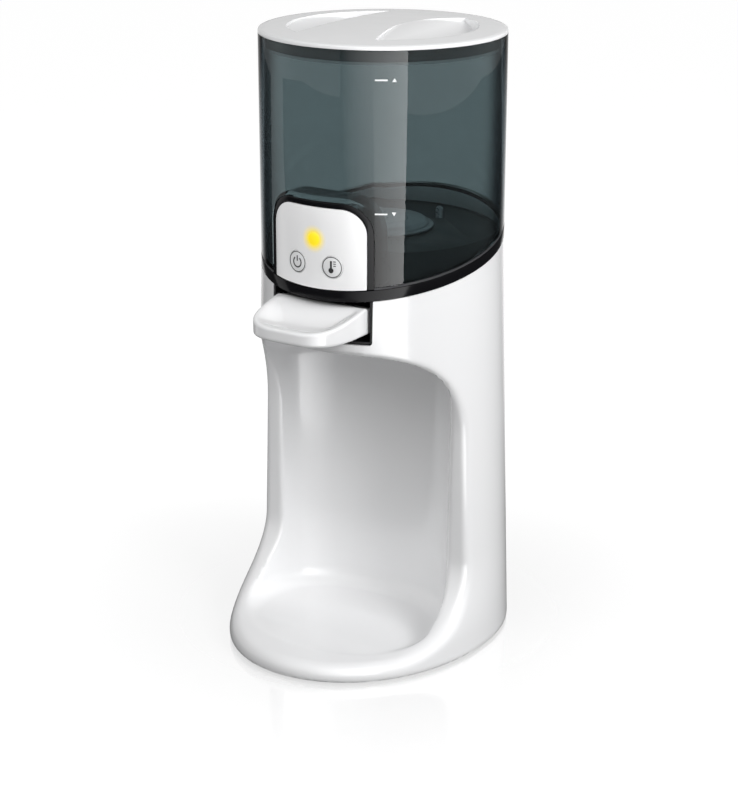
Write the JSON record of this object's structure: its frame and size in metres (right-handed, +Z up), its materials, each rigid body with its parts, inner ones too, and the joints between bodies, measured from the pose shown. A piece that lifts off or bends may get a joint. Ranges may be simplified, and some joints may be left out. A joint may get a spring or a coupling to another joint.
{
  "type": "instant bottle warmer",
  "caption": "Countertop bottle warmer: smoky clear water tank on a white body with a bottle bay, press lever, gravity valve, lift-off lid and push buttons.",
  "frame": {"origin": "on the ground under the middle of the foot's outline", "axes": "+Z up, front with lever and panel towards -Y, +X to the right seen from the front"},
  "size_m": [0.1662, 0.196, 0.3795],
  "materials": {
    "white_gloss": "smooth white gloss moulding",
    "smoked_clear": "smoky blue-grey clear moulding, polished",
    "black_gloss": "black gloss moulding",
    "dark_plastic": "dark satin moulding",
    "silicone": "soft translucent silicone",
    "rubber": "dull rubber",
    "steel": "satin stainless steel",
    "grey_plastic": "plain grey moulding",
    "circuit_board": "green circuit board",
    "cable": "dark insulated wire",
    "yellow_light": "glowing yellow lens"
  },
  "bodies": {
    "base": {"body_shell": "white_gloss", "panel_face": "white_gloss", "tank_wall": "smoked_clear", "collar_ring": "black_gloss", "panel_housing": "black_gloss", "lever_housing": "black_gloss", "power_inlet": "black_gloss", "heater_platform": "dark_plastic", "power_switch": "dark_plastic", "temp_switch": "dark_plastic", "thermostat": "dark_plastic", "transformer": "dark_plastic", "relay": "dark_plastic", "capacitor": "dark_plastic", "outlet_tube": "silicone", "tank_gasket": "rubber", "foot_pad_1": "rubber", "foot_pad_2": "rubber", "foot_pad_3": "rubber", "foot_pad_4": "rubber", "heating_plate": "steel", "heating_element": "steel", "temperature_sensor": "steel", "valve_spring": "steel", "lever_pin": "steel", "base_screw_1": "steel", "base_screw_2": "steel", "base_screw_3": "steel", "base_screw_4": "steel", "board_screw_1": "steel", "board_screw_2": "steel", "board_screw_3": "steel", "board_screw_4": "steel", "base_plate": "grey_plastic", "thermal_fuse": "grey_plastic", "valve_body": "grey_plastic", "valve_strainer": "grey_plastic", "spout_nozzle": "grey_plastic", "lever_bush_left": "grey_plastic", "lever_bush_right": "grey_plastic", "control_board": "circuit_board", "power_board": "circuit_board", "heater_wires": "cable", "inlet_wires": "cable", "panel_cable": "cable", "indicator_lens": "yellow_light", "indicator_led": "yellow_light"},
    "lid": {"lid_cap": "white_gloss", "lid_seal": "silicone"},
    "lever": {"lever_paddle": "white_gloss"},
    "plunger": {"valve_plunger": "silicone"},
    "power_key": {"power_button": "white_gloss"},
    "temp_key": {"temp_button": "white_gloss"}
  },
  "joints": [
    {"name": "lid_lift", "type": "slide", "parent": "base", "child": "lid", "axis": [0, 0, 1], "range_m": [0, 0.07]},
    {"name": "lever_press", "type": "hinge", "parent": "base", "child": "lever", "pos_m": [0, -0.0409, 0.219], "axis": [1, 0, 0], "range_deg": [0, 11], "stiffness_Nm_per_rad": 0.25, "springref_deg": -17.19},
    {"name": "valve_slide", "type": "slide", "parent": "base", "child": "plunger", "axis": [0, 0, 1], "range_m": [0, 0.0042], "deforming": ["valve_spring"]},
    {"name": "power_press", "type": "slide", "parent": "base", "child": "power_key", "axis": [0, 1, 0], "range_m": [0, 0.0007], "stiffness_N_per_m": 250, "springref_m": -0.0008},
    {"name": "temp_press", "type": "slide", "parent": "base", "child": "temp_key", "axis": [0, 1, 0], "range_m": [0, 0.0007], "stiffness_N_per_m": 250, "springref_m": -0.0008}
  ],
  "couplings": [
    {"joint": "valve_slide", "follows": "lever_press", "m_per_rad": 0.02085}
  ]
}
